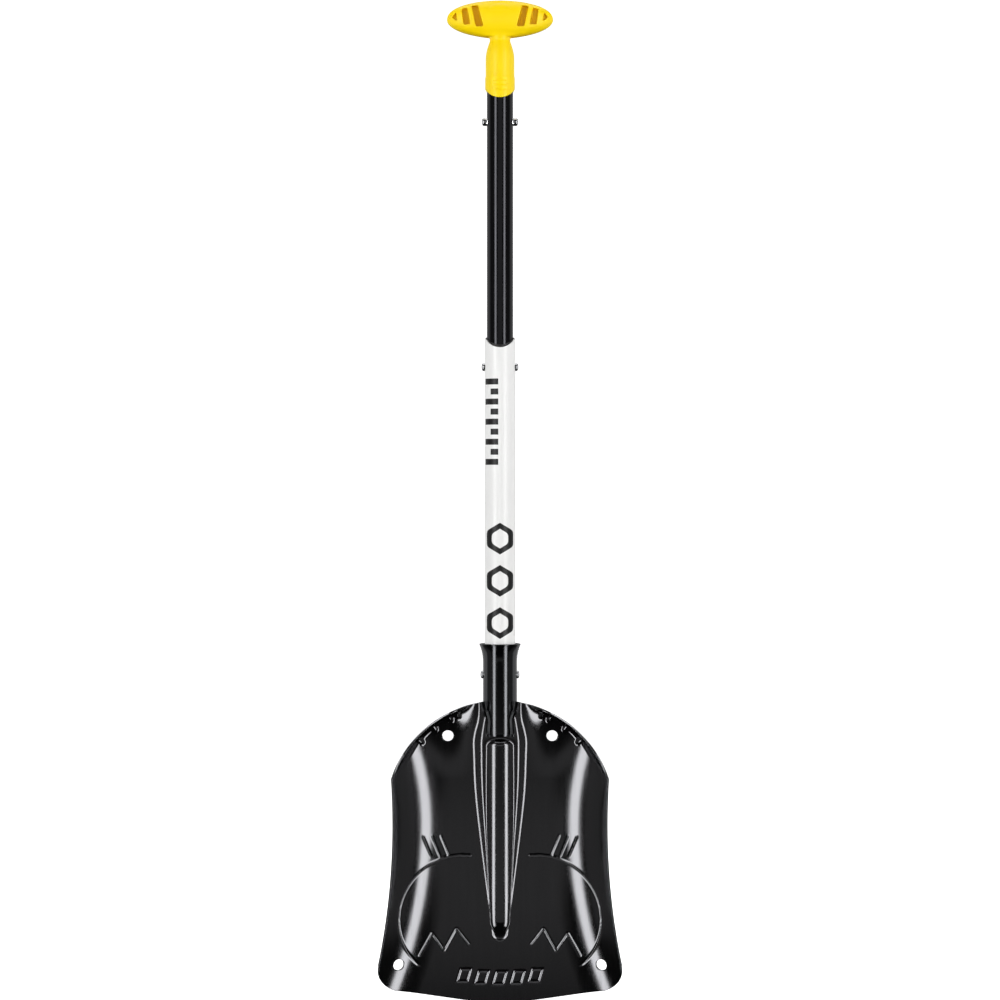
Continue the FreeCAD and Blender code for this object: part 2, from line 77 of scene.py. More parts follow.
# The raised walls bend up beside a curved line, and the top curls forward to a bent-over flange.
wall_start = 41.5
wall_radius = 68.0
wall_steepest = 58.0
bend_line_radius_below = 385.0
bend_line_radius_above = 227.0
top_curve_z = 200.0
top_curve_radius = 260.0
top_curve_steepest = 25.0
top_curve_inner = 20.0
top_curve_blend = 25.0
flange_width = 6.8
flange_radius = 6.0
flange_steepest = 68.0
flange_inner = 22.0
flange_blend = 24.0
crimp_height = 1.6
crimp_half_width = 3.4
# Small crimps stiffen the bend of the flange, at these angles from the blade's centre line.
crimp_angles = np.radians((23.0, 27.5, 37.0, 47.0))

# The channel is pressed back from the panel, and its ridge runs on below the socket's end.
channel_half_width = 26.0
channel_tip_half_width = 8.0
channel_tip_z = 62.0
channel_taper = 0.137
channel_rounding = 3.0
channel_top_narrowing = 5.8
channel_narrowing_start = 40.0
channel_narrowing_length = 34.0
channel_depth = 4.5
channel_ramp_share = 0.42
channel_roll_length = 20.0
channel_roll_off = 9.5
channel_roll_ramp = 4.0
ridge_crown_tip = 2.5
ridge_crown_fall = 2.2
ridge_tip_z = 72.0
ridge_tip_fall = 18.0
ridge_start_gap = 8.0
ridge_end_drop = 7.0
ridge_fillet = 1.5


def smooth_step(value):
    """0 below 0, 1 above 1, with a smooth rise between."""
    t = np.clip(value, 0.0, 1.0)
    return t * t * (3.0 - 2.0 * t)


def bend_rise(run, radius, steepest):
    """Height gained by a sheet that bends up with a radius and then runs on straight."""
    angle = math.radians(steepest)
    curved = radius * math.sin(angle)
    bent = np.clip(run, 0.0, curved)
    straight = np.maximum(run - curved, 0.0)
    return radius - np.sqrt(radius ** 2 - bent ** 2) + straight * math.tan(angle)


def channel_half(z):
    """Half width of the leaf-shaped channel."""
    short = channel_half_width - (channel_tip_half_width + (z - channel_tip_z) * channel_taper)
    half = channel_half_width - (short + np.hypot(short, channel_rounding)) / 2.0
    narrowing = smooth_step((z - (blade_height - channel_narrowing_start)) / channel_narrowing_length)
    return half - channel_top_narrowing * narrowing


def channel_rise(x, z):
    """The pressed channel, below the panel, with the ridge along its middle."""
    half = channel_half(np.maximum(z, channel_tip_z))
    inside = half - np.hypot(x, np.minimum(z - channel_tip_z, 0.0))
    roll = np.maximum(0.0, (z - (blade_height - channel_roll_length)) / channel_roll_length) ** 2
    depth = channel_depth * half / channel_half_width + channel_roll_off * roll
    ramp = channel_ramp_share * half + channel_roll_ramp * roll
    floor = -depth * smooth_step(inside / ramp)
    ridge_start_z = socket_end_z - ridge_start_gap
    along = np.clip((z - ridge_tip_z) / (ridge_start_z - ridge_tip_z), 0.0, 1.0)
    crown = ridge_crown_tip - ridge_crown_fall * along
    crown = crown - ridge_end_drop * smooth_step((ridge_tip_z - z) / ridge_tip_fall)
    crown = crown - ridge_end_drop * smooth_step((z - ridge_start_z) / ridge_start_gap)
    ridge = crown - (socket_radius - np.sqrt(np.maximum(0.0, socket_radius ** 2 - x * x)))
    fillet = ridge_fillet * smooth_step(inside / ramp)
    return (floor + ridge + np.hypot(floor - ridge, fillet)) / 2.0


def side_x(z):
    """Half width of the blade along its waisted side."""
    return waist_half_width + side_arc_radius - np.sqrt(side_arc_radius ** 2 - (z - waist_z) ** 2)


def bottom_z(x):
    """Height of the bottom edge: a round nose that runs into two straight stretches."""
    tangent_x = nose_radius * math.sin(nose_angle)
    bent = np.minimum(np.abs(x), tangent_x)
    straight = np.maximum(np.abs(x) - tangent_x, 0.0)
    return nose_radius - np.sqrt(nose_radius ** 2 - bent ** 2) + straight * math.tan(nose_angle)


def top_z(x):
    """Height of the round top edge."""
    return top_arc_centre_z + np.sqrt(top_arc_radius ** 2 - x ** 2)


def corner_where(edge_z, first_z):
    """Corner where the waisted side meets the edge given by edge_z."""
    z = first_z
    for _ in range(40):
        z = edge_z(side_x(z))
    return float(side_x(z)), float(z)


def flange_rise(x, z):
    """The bent-over top edge and its crimps."""
    run = np.hypot(x, z - top_arc_centre_z) - (top_arc_radius - flange_width)
    along_top = smooth_step((z - top_curve_z) / top_curve_blend)
    along_top = along_top * smooth_step((np.abs(x) - flange_inner) / flange_blend)
    angle = np.arctan2(np.abs(x), z - top_arc_centre_z)
    crimps = 0.0
    for place in crimp_angles:
        beside = np.abs(angle - place) * top_arc_radius
        crimps = crimps + smooth_step(1.0 - beside / crimp_half_width)
    begin = smooth_step((run + 3.0) / 4.5)
    end = smooth_step((6.5 - run) / 4.5)
    crimps = crimp_height * crimps * begin * end
    return along_top * (bend_rise(run, flange_radius, flange_steepest) + crimps)


def to_segment(x, z, start, end):
    """Distance to a straight line between two points."""
    run_x, run_z = end[0] - start[0], end[1] - start[1]
    share = ((x - start[0]) * run_x + (z - start[1]) * run_z) / (run_x ** 2 + run_z ** 2)
    share = np.clip(share, 0.0, 1.0)
    return np.hypot(x - start[0] - share * run_x, z - start[1] - share * run_z)


line_depth = 0.55
line_half_width = 0.35
line_shoulder = 0.85
no_line = 50.0


def line_art(x, z):
    """Depth of the pressed lines: an arc, a zigzag and three strokes each side, and a row of links."""
    side = np.abs(x)
    arc = np.abs(np.hypot(side - 34.0, z - 75.0) - 57.0)
    arc = arc + no_line * ((z < 33.0) | (side < 26.0))
    zigzag = np.full(np.shape(x), no_line)
    peaks = ((28.0, 52.0), (39.0, 66.0), (50.0, 46.0), (61.0, 62.0), (72.0, 42.0))
    for start, end in zip(peaks, peaks[1:]):
        zigzag = np.minimum(zigzag, to_segment(side, z, start, end))
    strokes = np.full(np.shape(x), no_line)
    for step in range(3):
        start = (46.0 + 8.0 * step, 131.0)
        strokes = np.minimum(strokes, to_segment(side, z, start, (start[0] + 7.0, 149.0)))
    links = np.full(np.shape(x), no_line)
    for place in (-32.0, -16.0, 0.0, 16.0, 32.0):
        base = 22.0 + 0.0022 * place * place
        outer = np.maximum(np.abs(x - place - 0.3 * (z - base)) - 3.2, np.abs(z - base) - 4.2)
        links = np.minimum(links, np.abs(outer - 1.2))
    nearest = np.minimum(np.minimum(arc, zigzag), np.minimum(strokes, links))
    return line_depth * (1.0 - smooth_step((nearest - line_half_width) / line_shoulder))


def formed_rise(x, z):
    """How far the middle of the sheet stands in front of the flat panel, before the line art."""
    drop = z - waist_z
    line_radius = np.where(drop < 0.0, bend_line_radius_below, bend_line_radius_above)
    start = wall_start + drop * drop / (2.0 * line_radius)
    rise = bend_rise(np.abs(x) - start, wall_radius, wall_steepest)
    beside_channel = smooth_step((np.abs(x) - top_curve_inner) / top_curve_blend)
    rise = rise + beside_channel * bend_rise(z - top_curve_z, top_curve_radius, top_curve_steepest)
    return rise + flange_rise(x, z) + channel_rise(x, z)


def sheet_middle(x, z):
    """Points on the middle of the sheet, in millimetres."""
    return np.stack([x, -(panel_forward + formed_rise(x, z) - line_art(x, z)), z], axis=-1)


def sheet_normal(x, z):
    """Unit vectors out of the scoop side of the sheet."""
    step = 0.2
    slope_x = -(formed_rise(x + step, z) - formed_rise(x - step, z)) / (2.0 * step)
    slope_z = -(formed_rise(x, z + step) - formed_rise(x, z - step)) / (2.0 * step)
    normal = np.stack([slope_x, -np.ones(np.shape(x)), slope_z], axis=-1)
    return normal / np.linalg.norm(normal, axis=-1, keepdims=True)


def hole_through(x, z):
    """A punched hole, square to the sheet: how far inside the hole a point of the sheet lies."""
    centre_x, centre_z = np.array(x, float), np.array(z, float)
    centre = sheet_middle(centre_x, centre_z)
    axis = sheet_normal(centre_x, centre_z)

    def inside(u, v):
        offset = sheet_middle(u, v) - centre
        along = offset @ axis
        return lashing_hole_radius - np.linalg.norm(offset - along[..., None] * axis, axis=-1)

    return inside


def beyond_corner(corner_x, corner_z, side_slope, edge_slope, radius):
    """The sharp corner of the blank that its rounding takes away, on both sides of the blade."""
    side_run = np.array((side_slope, 1.0)) / math.hypot(side_slope, 1.0)
    edge_run = np.array((1.0, edge_slope)) / math.hypot(1.0, edge_slope)
    if corner_z > waist_z:
        side_run = -side_run
    half = math.acos(float(np.clip(side_run @ -edge_run, -1.0, 1.0))) / 2.0
    middle = side_run - edge_run
    middle = middle / np.linalg.norm(middle)
    centre = np.array((corner_x, corner_z)) + middle * radius / math.sin(half)

    def inside(u, v):
        offset_x, offset_z = np.abs(u) - centre[0], v - centre[1]
        towards = offset_x * -middle[0] + offset_z * -middle[1]
        gap = np.hypot(offset_x, offset_z) - radius
        return np.where(towards > radius * math.sin(half) * 0.98, gap, -1.0)

    return inside


def in_socket(u, v):
    """The notch that the socket passes through."""
    level = panel_forward + formed_rise(u, v)
    return np.minimum(socket_radius + 1.0 - np.hypot(u, level), v - socket_end_z)


def trimmed_surface(name, across, along, place, cuts, closed=False):
    """Mesh of a surface given over a grid, trimmed to clean edges where a cut takes it away."""
    index = np.arange(across.size).reshape(across.shape)
    if closed:
        index = np.hstack([index, index[:, :1]])
    quads = np.stack([index[:-1, :-1], index[:-1, 1:], index[1:, 1:], index[1:, :-1]], axis=-1)
    quads = quads.reshape(-1, 4)
    u, v = across.ravel().astype(float), along.ravel().astype(float)

    def level(at_u, at_v):
        return np.max([cut(at_u, at_v) for cut in cuts], axis=0)

    if cuts:
        kept = level(u, v)[quads].mean(axis=1) < 0.0
        on_edge = np.intersect1d(np.unique(quads[kept]), np.unique(quads[~kept]))
        step = 0.02
        for _ in range(5):
            at_u, at_v = u[on_edge], v[on_edge]
            slope_u = (level(at_u + step, at_v) - level(at_u - step, at_v)) / (2.0 * step)
            slope_v = (level(at_u, at_v + step) - level(at_u, at_v - step)) / (2.0 * step)
            size = np.maximum(slope_u ** 2 + slope_v ** 2, 0.05)
            move = np.clip(level(at_u, at_v) / size, -0.6, 0.6)
            u[on_edge] = at_u - move * slope_u
            v[on_edge] = at_v - move * slope_v
        quads = quads[kept]
    used, numbered = np.unique(quads, return_inverse=True)
    points = place(u[used], v[used]) * MM
    mesh = bpy.data.meshes.new(name)
    mesh.from_pydata(points.tolist(), [], numbered.reshape(-1, 4).tolist())
    shape = bmesh.new()
    shape.from_mesh(mesh)
    bmesh.ops.remove_doubles(shape, verts=shape.verts, dist=0.14 * MM)
    bmesh.ops.recalc_face_normals(shape, faces=shape.faces)
    shape.to_mesh(mesh)
    shape.free()
    mesh.shade_smooth()
    piece = bpy.data.objects.new(name, mesh)
    scene.collection.objects.link(piece)
    return piece


def give_thickness(piece, thickness, edge_rounding):
    """Turns a middle surface into sheet or tube wall with eased edges."""
    solidify = piece.modifiers.new("thickness", "SOLIDIFY")
    solidify.thickness = thickness * MM
    solidify.offset = 0.0
    solidify.use_even_offset = True
    ease_edges(piece, edge_rounding)


def ease_edges(piece, rounding, segments=2):
    """Rounds every sharp edge a little, as tumbling or anodising leaves it."""
    bevel = piece.modifiers.new("eased edges", "BEVEL")
    bevel.width = rounding * MM
    bevel.segments = segments
    bevel.limit_method = "ANGLE"
    bevel.angle_limit = math.radians(50.0)
    bevel.use_clamp_overlap = False
    bevel.harden_normals = False


def spread(limits, counts):
    """Evenly spaced values between each pair of limits."""
    parts = [np.linspace(a, b, n, endpoint=False) for a, b, n in zip(limits, limits[1:], counts)]
    return np.concatenate(parts + [[limits[-1]]])


low_corner = corner_where(bottom_z, 0.0)
high_corner = corner_where(top_z, waist_z)
share_across = spread((-1.0, -0.3, 0.3, 1.0), (104, 92, 104))
share_up = spread((0.0, 0.87, 1.0), (300, 62))
sheet_s, sheet_t = np.meshgrid(share_across, share_up)
sheet_x = sheet_s * side_x(low_corner[1] + (high_corner[1] - low_corner[1]) * sheet_t)
sheet_z = (1.0 - sheet_t) * bottom_z(sheet_s * low_corner[0]) + sheet_t * top_z(
    sheet_s * high_corner[0],
)
side_slope_low = (low_corner[1] - waist_z) / (side_arc_radius + waist_half_width - low_corner[0])
side_slope_high = (high_corner[1] - waist_z) / (side_arc_radius + waist_half_width - high_corner[0])
top_slope = -high_corner[0] / (high_corner[1] - top_arc_centre_z)
blade_cuts = [in_socket]
for side in (-1.0, 1.0):
    blade_cuts.append(hole_through(side * top_hole[0], top_hole[1]))
    blade_cuts.append(hole_through(side * corner_hole[0], corner_hole[1]))
blade_cuts.append(
    beyond_corner(*low_corner, side_slope_low, math.tan(nose_angle), bottom_corner_radius)
)
blade_cuts.append(
    beyond_corner(*high_corner, side_slope_high, top_slope, shoulder_corner_radius)
)
blade = trimmed_surface("blade_sheet", sheet_x, sheet_z, sheet_middle, blade_cuts)
give_thickness(blade, sheet_thickness, 0.25)


def linear(hex_colour, alpha=1.0):
    """Linear colour of an sRGB hex value."""
    values = [int(hex_colour[i:i + 2], 16) / 255.0 for i in (1, 3, 5)]
    return [c / 12.92 if c <= 0.04045 else ((c + 0.055) / 1.055) ** 2.4 for c in values] + [alpha]


def new_material(name):
    """A node material with no nodes in it yet."""
    material = bpy.data.materials.new(name)
    material.use_nodes = True
    material.node_tree.nodes.clear()
    return material


def add(material, kind, inputs=None, **settings):
    """Adds a node with its settings, and sets or links its inputs."""
    made = material.node_tree.nodes.new(kind)
    for key, value in settings.items():
        setattr(made, key, value)
    for key, value in (inputs or {}).items():
        if isinstance(value, bpy.types.NodeSocket):
            material.node_tree.links.new(value, made.inputs[key])
        else:
            made.inputs[key].default_value = value
    return made


# Black hard-anodised aluminium: a dyed oxide skin on bright metal. The eye gets a dark mirror with
# a very fine matt grain, faint rub marks, and a paler line where edges have rubbed.
anodised = new_material("hard_anodised_aluminium")
where = add(anodised, "ShaderNodeTexCoord")
grain = add(
    anodised, "ShaderNodeTexNoise",
    {"Vector": where.outputs["Object"], "Scale": 1 / (0.9 * MM), "Detail": 3.0},
)
rubbed_along = add(
    anodised, "ShaderNodeMapping", {"Vector": where.outputs["Object"], "Scale": (1.0, 1.0, 0.06)},
)
rub = add(
    anodised, "ShaderNodeTexNoise",
    {
        "Vector": rubbed_along.outputs["Vector"], "Scale": 1 / (4.0 * MM), "Detail": 5.0,
        "Roughness": 0.65,
    },
)
cloud = add(
    anodised, "ShaderNodeTexNoise",
    {"Vector": where.outputs["Object"], "Scale": 1 / (60.0 * MM), "Detail": 4.0},
)
gloss = add(
    anodised, "ShaderNodeMapRange",
    {
        "Value": rub.outputs["Fac"], "From Min": 0.35, "From Max": 0.75, "To Min": 0.12,
        "To Max": 0.18,
    },
)
gloss_more = add(
    anodised, "ShaderNodeMath", {0: cloud.outputs["Fac"], 1: 0.04, 2: gloss.outputs["Result"]},
    operation="MULTIPLY_ADD",
)
shape = add(anodised, "ShaderNodeNewGeometry")
edge = add(
    anodised, "ShaderNodeMapRange",
    {"Value": shape.outputs["Pointiness"], "From Min": 0.53, "From Max": 0.62},
)
worn = add(
    anodised, "ShaderNodeMath", {0: edge.outputs["Result"], 1: rub.outputs["Fac"]},
    operation="MULTIPLY",
)
tint = add(
    anodised, "ShaderNodeMix",
    {"Factor": worn.outputs["Value"], 6: linear("#636365"), 7: linear("#b0b1b4")}, data_type="RGBA",
)
bump = add(
    anodised, "ShaderNodeBump",
    {"Height": grain.outputs["Fac"], "Strength": 0.06, "Distance": 0.05 * MM},
)
skin = add(
    anodised, "ShaderNodeBsdfPrincipled",
    {
        "Base Color": tint.outputs[2], "Metallic": 1.0, "Roughness": gloss_more.outputs["Value"],
        "Normal": bump.outputs["Normal"],
    },
)
add(anodised, "ShaderNodeOutputMaterial", {"Surface": skin.outputs["BSDF"]})
blade.data.materials.append(anodised)
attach(blade, "blade_assembly")
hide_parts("blade")

# ---- Socket --------------------------------------------------------------------------
# The collar that takes the shaft: aluminium tube with its mouth spun out to a bell, so that the
# shaft finds its way in. It is drilled for the snap buttons and welded into the blade's notch.
socket_low, socket_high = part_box("socket")
mouth_z = socket_high.z / MM
mouth_growth = socket_high.x / MM - socket_radius
socket_wall = 1.4
flare_length = 16.5
flare_radius = (flare_length ** 2 + mouth_growth ** 2) / (2.0 * mouth_growth)
button_hole_radius = 3.75
hole_margin = 6.0           # the grid is finer this far above and below a button's hole


def middle_height(box):
    """Height of the middle of a pair of snap buttons."""
    low, high = box
    return (low.z + high.z) / 2.0 / MM


socket_button_z = middle_height(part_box("socket_button_left"))


def flared_wall(u, v):
    """Middle of the socket's wall."""
    radius = socket_radius - socket_wall / 2.0
    angle = u / radius
    run = np.clip(v - (mouth_z - flare_length), 0.0, flare_length)
    radius = radius + flare_radius - np.sqrt(flare_radius ** 2 - run ** 2)
    return np.stack([radius * np.sin(angle), -radius * np.cos(angle), v], axis=-1)


def button_hole(radius, z):
    """A hole drilled across a tube along X."""
    return lambda u, v: button_hole_radius - np.hypot(radius * np.cos(u / radius), v - z)


def round_grid(radius, limits, counts, segments=192):
    """Grid over a tube's wall: arc length across, height along."""
    arc = np.linspace(0.0, 2.0 * math.pi * radius, segments, endpoint=False)
    return np.meshgrid(arc, spread(limits, counts))


middle = socket_radius - socket_wall / 2.0
grid = round_grid(
    middle,
    (socket_end_z, socket_button_z - hole_margin, socket_button_z + hole_margin,
     mouth_z - flare_length, mouth_z - 0.2),
    (14, 30, 4, 36),
)
socket = trimmed_surface(
    "socket_tube", *grid, flared_wall, [button_hole(middle, socket_button_z)], closed=True,
)
give_thickness(socket, socket_wall, 0.3)
collar_skin = anodised.copy()
collar_skin.name = "hard_anodised_collar"
# The drawn tube takes the dye darker than the rolled sheet.
for part_of_skin in collar_skin.node_tree.nodes:
    if part_of_skin.bl_idname == "ShaderNodeMix":
        part_of_skin.inputs[6].default_value = linear("#4c4d4f")
socket.data.materials.append(collar_skin)
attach(socket, "blade_assembly")
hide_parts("socket")

# ---- Weld beads ----------------------------------------------------------------------
# Four hand-laid aluminium beads join the socket to the sheet, two in front and two behind. Each
# shows the ripple of its puddles, and they are anodised with the rest.
weld_radius = 1.5
weld_gap = 0.05
ripple_pitch = 1.3


def bead_centre(front, z):
    """Centre of a bead that touches both the socket's wall and the sheet, on the right side."""
    reach = weld_radius + weld_gap
    from_axis = socket_radius + reach
    low, high = 0.0, math.pi / 2.0
    for _ in range(30):
        angle = (low + high) / 2.0
        x = np.array(from_axis * math.sin(angle))
        offset = (sheet_thickness / 2.0 + reach) / abs(sheet_normal(x, np.array(z))[1])
        level = panel_forward + formed_rise(x, np.array(z)) + (offset if front else -offset)
        if from_axis * math.cos(angle) > level:
            low = angle
        else:
            high = angle
    return np.array((from_axis * math.sin(low), -from_axis * math.cos(low), z))


weld_metal = new_material("anodised_weld_bead")
# Rougher than the sheet, because the cast metal of a bead takes the dye unevenly.
where = add(weld_metal, "ShaderNodeTexCoord")
pores = add(
    weld_metal, "ShaderNodeTexNoise",
    {"Vector": where.outputs["Object"], "Scale": 1 / (0.5 * MM), "Detail": 4.0},
)
tint = add(
    weld_metal, "ShaderNodeMix",
    {"Factor": pores.outputs["Fac"], 6: linear("#2c2d2e"), 7: linear("#5b5c5e")}, data_type="RGBA",
)
gloss = add(
    weld_metal, "ShaderNodeMapRange",
    {"Value": pores.outputs["Fac"], "To Min": 0.26, "To Max": 0.42},
)
bump = add(
    weld_metal, "ShaderNodeBump",
    {"Height": pores.outputs["Fac"], "Strength": 0.3, "Distance": 0.08 * MM},
)
skin = add(
    weld_metal, "ShaderNodeBsdfPrincipled",
    {
        "Base Color": tint.outputs[2], "Metallic": 1.0, "Roughness": gloss.outputs["Result"],
        "Normal": bump.outputs["Normal"],
    },
)
add(weld_metal, "ShaderNodeOutputMaterial", {"Surface": skin.outputs["BSDF"]})

for place, front in (("front", True), ("back", False)):
    low_z, high_z = (corner.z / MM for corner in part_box(f"weld_{place}_right"))
    bead_z = np.linspace(low_z + 0.2, high_z - 0.2, 110)
    centres = np.array([bead_centre(front, z) for z in bead_z])
    run = bead_z - bead_z[0]
    left_over = run[-1] - run
    from_end = (1.0 - np.minimum(run, left_over) / weld_radius).clip(0.0)
    ending = np.sqrt(np.clip(1.0 - from_end ** 2, 0.0, 1.0))
    radii = weld_radius * ending * (0.95 + 0.05 * np.cos(2.0 * math.pi * run / ripple_pitch))

    for name, side in (("left", -1.0), ("right", 1.0)):

        def bead(u, v, side=side, centres=centres, radii=radii):
            row = v.astype(int)
            radius = radii[row]
            x = side * (centres[row, 0] + radius * np.cos(u))
            ripple = 0.25 * np.sin(u) * radius
            return np.stack([x, centres[row, 1] + radius * np.sin(u), centres[row, 2] + ripple], axis=-1)

        rings = np.meshgrid(np.linspace(0.0, 2.0 * math.pi, 28, endpoint=False), np.arange(len(bead_z)))
        weld = trimmed_surface(f"weld_{place}_{name}_bead", *rings, bead, [], closed=True)
        weld.data.materials.append(weld_metal)
        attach(weld, "blade_assembly")
        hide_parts(f"weld_{place}_{name}")

# ---- Lower tube ------------------------------------------------------------------------
# The lower half of the shaft: drawn aluminium tube with a saddle-cut top edge, powder-coated
# white, cured, and printed in black with a tick scale and three rounded six-sided rings.
lower_low, lower_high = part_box("lower_tube")
lower_radius = lower_high.x / MM
tube_wall = 1.2
saddle_radius = 14.35
bushing_depth = 9.0
lower_edge_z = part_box("tube_bushing")[0].z / MM + bushing_depth
extension_button_z = middle_height(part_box("extension_button_left"))


def saddle_rise(x):
    """How far a saddle edge climbs from its low point in front."""
    return saddle_radius - np.sqrt(np.maximum(saddle_radius ** 2 - x ** 2, 0.0))


def straight_wall(radius, saddle_from=1e9, saddle_to=2e9):
    """Middle of a straight tube's wall; above saddle_from its rows turn into the saddle's curve."""

    def place(u, v):
        x = radius * np.sin(u / radius)
        lift = saddle_rise(x) * smooth_step((v - saddle_from) / (saddle_to - saddle_from))
        return np.stack([x, -radius * np.cos(u / radius), v + lift], axis=-1)

    return place


middle = lower_radius - tube_wall / 2.0
lower_bottom = lower_low.z / MM
grid = round_grid(
    middle,
    (lower_bottom, socket_button_z - hole_margin, socket_button_z + hole_margin,
     extension_button_z - hole_margin, extension_button_z + 5.0, lower_edge_z),
    (3, 28, 40, 28, 20),
)
lower_tube = trimmed_surface(
    "lower_tube_coated", *grid, straight_wall(middle, extension_button_z + 4.5, lower_edge_z),
    [button_hole(middle, socket_button_z), button_hole(middle, extension_button_z)], closed=True,
)
give_thickness(lower_tube, tube_wall, 0.22)

coated = new_material("white_powder_coat")
# Baked polyester powder: a white gloss skin with the shallow ripple of orange peel, a faint dusty
# clouding, and screen print that sits on it slightly duller.
where = add(coated, "ShaderNodeTexCoord")
at = add(coated, "ShaderNodeSeparateXYZ", {"Vector": where.outputs["Object"]})
across = add(coated, "ShaderNodeMath", {0: at.outputs["X"]}, operation="ABSOLUTE")
facing = add(coated, "ShaderNodeMath", {0: at.outputs["Y"], 1: 0.0}, operation="LESS_THAN")
ring_masks = []
hexagon_slope = 0.836       # a little flatter than a regular one, since the rings are tall
ring_reach = 9.6
for ring_z in (339.3, 377.1, 414.9):
    height = add(coated, "ShaderNodeMath", {0: at.outputs["Z"], 1: ring_z * MM}, operation="SUBTRACT")
    height = add(coated, "ShaderNodeMath", {0: height.outputs[0]}, operation="ABSOLUTE")
    slant = add(coated, "ShaderNodeMath", {0: across.outputs[0], 1: 0.5}, operation="MULTIPLY")
    slant = add(
        coated, "ShaderNodeMath", {0: height.outputs[0], 1: hexagon_slope, 2: slant.outputs[0]},
        operation="MULTIPLY_ADD",
    )
    six = add(
        coated, "ShaderNodeMath", {0: across.outputs[0], 1: slant.outputs[0], 2: 3.5 * MM},
        operation="SMOOTH_MAX",
    )
    stroke = add(
        coated, "ShaderNodeMath", {0: six.outputs[0], 1: ring_reach * MM}, operation="SUBTRACT",
    )
    stroke = add(coated, "ShaderNodeMath", {0: stroke.outputs[0]}, operation="ABSOLUTE")
    ring_masks.append(add(
        coated, "ShaderNodeMapRange",
        {
            "Value": stroke.outputs[0], "From Min": 2.15 * MM, "From Max": 2.35 * MM, "To Min": 1.0,
            "To Max": 0.0,
        },
    ))
# The tick scale: bars 5 mm high every 9 mm, each second one short.
tick_pitch = 9.0
scale_low_z = 481.0
scale_high_z = 562.0
tick = add(coated, "ShaderNodeMath", {0: at.outputs["Z"], 1: scale_low_z * MM}, operation="SUBTRACT")
tick_share = add(coated, "ShaderNodeMath", {0: tick.outputs[0], 1: tick_pitch * MM}, operation="MODULO")
tick_gap = add(coated, "ShaderNodeMath", {0: tick_share.outputs[0], 1: 2.7 * MM}, operation="SUBTRACT")
tick_gap = add(coated, "ShaderNodeMath", {0: tick_gap.outputs[0]}, operation="ABSOLUTE")
bar = add(
    coated, "ShaderNodeMapRange",
    {
        "Value": tick_gap.outputs[0], "From Min": 2.6 * MM, "From Max": 2.75 * MM, "To Min": 1.0,
        "To Max": 0.0,
    },
)
pair_share = add(
    coated, "ShaderNodeMath", {0: tick.outputs[0], 1: 2.0 * tick_pitch * MM}, operation="MODULO",
)
short = add(
    coated, "ShaderNodeMath", {0: pair_share.outputs[0], 1: tick_pitch * MM},
    operation="GREATER_THAN",
)
left_end = add(
    coated, "ShaderNodeMath", {0: short.outputs[0], 1: 4.6 * MM, 2: -13.0 * MM},
    operation="MULTIPLY_ADD",
)
from_left = add(
    coated, "ShaderNodeMath", {0: at.outputs["X"], 1: left_end.outputs[0]},
    operation="GREATER_THAN",
)
to_right = add(coated, "ShaderNodeMath", {0: at.outputs["X"], 1: -1.6 * MM}, operation="LESS_THAN")
above = add(
    coated, "ShaderNodeMath", {0: at.outputs["Z"], 1: scale_low_z * MM}, operation="GREATER_THAN",
)
below = add(coated, "ShaderNodeMath", {0: at.outputs["Z"], 1: scale_high_z * MM}, operation="LESS_THAN")
scale_mask = bar.outputs["Result"]
for limit in (from_left, to_right, above, below):
    scale_mask = add(
        coated, "ShaderNodeMath", {0: scale_mask, 1: limit.outputs[0]}, operation="MULTIPLY",
    ).outputs[0]
printed = scale_mask
for mask in ring_masks:
    printed = add(
        coated, "ShaderNodeMath", {0: printed, 1: mask.outputs["Result"]}, operation="MAXIMUM",
    ).outputs[0]
printed = add(
    coated, "ShaderNodeMath", {0: printed, 1: facing.outputs[0]}, operation="MULTIPLY",
).outputs[0]
peel = add(
    coated, "ShaderNodeTexNoise",
    {"Vector": where.outputs["Object"], "Scale": 1 / (1.6 * MM), "Detail": 2.0},
)
dust = add(
    coated, "ShaderNodeTexNoise",
    {"Vector": where.outputs["Object"], "Scale": 1 / (25.0 * MM), "Detail": 5.0},
)
white = add(
    coated, "ShaderNodeMix",
    {"Factor": dust.outputs["Fac"], 6: linear("#f2f2f1"), 7: linear("#ebebea")}, data_type="RGBA",
)
ink = add(
    coated, "ShaderNodeMix", {"Factor": printed, 6: white.outputs[2], 7: linear("#0b0b0c")},
    data_type="RGBA",
)
gloss = add(
    coated, "ShaderNodeMapRange", {"Value": dust.outputs["Fac"], "To Min": 0.24, "To Max": 0.36},
)
gloss = add(
    coated, "ShaderNodeMath", {0: printed, 1: 0.12, 2: gloss.outputs["Result"]},
    operation="MULTIPLY_ADD",
)
bump = add(
    coated, "ShaderNodeBump",
    {"Height": peel.outputs["Fac"], "Strength": 0.18, "Distance": 0.08 * MM},
)
skin = add(
    coated, "ShaderNodeBsdfPrincipled",
    {
        "Base Color": ink.outputs[2], "Roughness": gloss.outputs[0], "IOR": 1.5,
        "Normal": bump.outputs["Normal"],
    },
)
add(coated, "ShaderNodeOutputMaterial", {"Surface": skin.outputs["BSDF"]})
lower_tube.data.materials.append(coated)
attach(lower_tube, "lower_shaft")
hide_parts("lower_tube")

